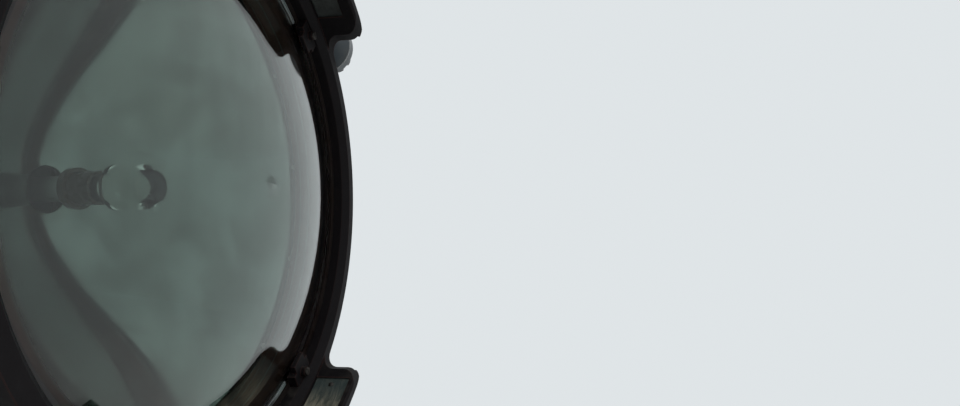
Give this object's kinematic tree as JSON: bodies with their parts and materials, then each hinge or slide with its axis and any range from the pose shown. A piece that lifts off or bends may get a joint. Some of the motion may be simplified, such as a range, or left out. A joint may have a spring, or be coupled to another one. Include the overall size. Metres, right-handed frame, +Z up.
{
  "type": "rotating lighthouse beacon",
  "caption": "Drum-shaped rotating beacon with a domed glass front door in a hooded black ring, tilting in a yoke on a turntable and pedestal.",
  "frame": {"origin": "centre of the base flange's underside, on the vertical spin axis", "axes": "+Z up; the drum's axis runs along Y at rest and the glass door faces -Y; the trunnions lie along X, and the door's hinge is on -X"},
  "size_m": [0.966, 0.7215, 1.99],
  "materials": {
    "pedestal_paint": "aged light grey paint over cast iron",
    "cover_paint": "grey paint",
    "motor_paint": "dark grey paint",
    "gland_metal": "dull brass",
    "bright_steel": "ground steel",
    "yoke_paint": "aged light grey paint",
    "clamp_steel": "worn black paint over steel",
    "drum_paint": "aged light grey paint over aluminium",
    "handle_paint": "worn black paint over steel",
    "trunnion_paint": "aged light grey paint over steel",
    "quadrant_steel": "dull steel",
    "mirror_face": "polished metal",
    "inner_metal": "plain dull metal",
    "socket_brass": "dull brass",
    "lamp_glass": "clear glass",
    "latch_paint": "aged light grey paint",
    "ring_paint": "aged near-black gloss paint over a casting",
    "liner_metal": "weathered bare sheet",
    "gasket_rubber": "aged brown rubber",
    "dome_glass": "clear, faintly green, with a dull edge",
    "bezel_brass": "dull brown brass"
  },
  "bodies": {
    "pedestal": {"base_flange": "pedestal_paint", "pedestal_column": "pedestal_paint", "access_cover": "cover_paint", "conduit_gland": "gland_metal", "bearing_head": "pedestal_paint", "drive_gearbox": "cover_paint", "drive_motor": "motor_paint"},
    "yoke": {"spindle": "bright_steel", "turntable": "yoke_paint", "yoke_beam": "yoke_paint", "yoke_arm_left": "yoke_paint", "yoke_arm_right": "yoke_paint", "bearing_cap_left": "cover_paint", "bearing_cap_right": "cover_paint", "tilt_clamp": "clamp_steel"},
    "drum": {"drum_shell": "drum_paint", "drum_front_flange": "drum_paint", "drum_rear_ring": "drum_paint", "rear_cover": "drum_paint", "rear_handle": "handle_paint", "trunnion_left": "trunnion_paint", "trunnion_right": "trunnion_paint", "tilt_quadrant": "quadrant_steel", "vent_neck": "drum_paint", "vent_cowl": "drum_paint", "reflector": "mirror_face", "reflector_ring": "inner_metal", "lamp_spider": "inner_metal", "lamp_stem": "inner_metal", "lamp_socket": "socket_brass", "lamp_bulb": "lamp_glass", "hinge_brackets": "drum_paint", "hinge_pins": "bright_steel", "latch_plate_upper": "latch_paint", "latch_plate_lower": "latch_paint", "latch_screw_upper": "clamp_steel", "latch_screw_lower": "clamp_steel"},
    "door": {"door_ring": "ring_paint", "hood_liner_upper": "liner_metal", "hood_liner_lower": "liner_metal", "glass_gasket": "gasket_rubber", "glass_dome": "dome_glass", "glass_bezel": "bezel_brass", "glass_clips": "ring_paint"}
  },
  "joints": [
    {"name": "beacon_spin", "type": "hinge", "parent": "pedestal", "child": "yoke", "pos_m": [0, 0, 0.867], "axis": [0, 0, 1], "continuous": true},
    {"name": "drum_tilt", "type": "hinge", "parent": "yoke", "child": "drum", "pos_m": [0, 0, 1.55], "axis": [1, 0, 0], "range_deg": [-10, 10]},
    {"name": "front_door", "type": "hinge", "parent": "drum", "child": "door", "pos_m": [-0.367, -0.23, 1.55], "axis": [0, 0, -1], "range_deg": [0, 100]}
  ]
}
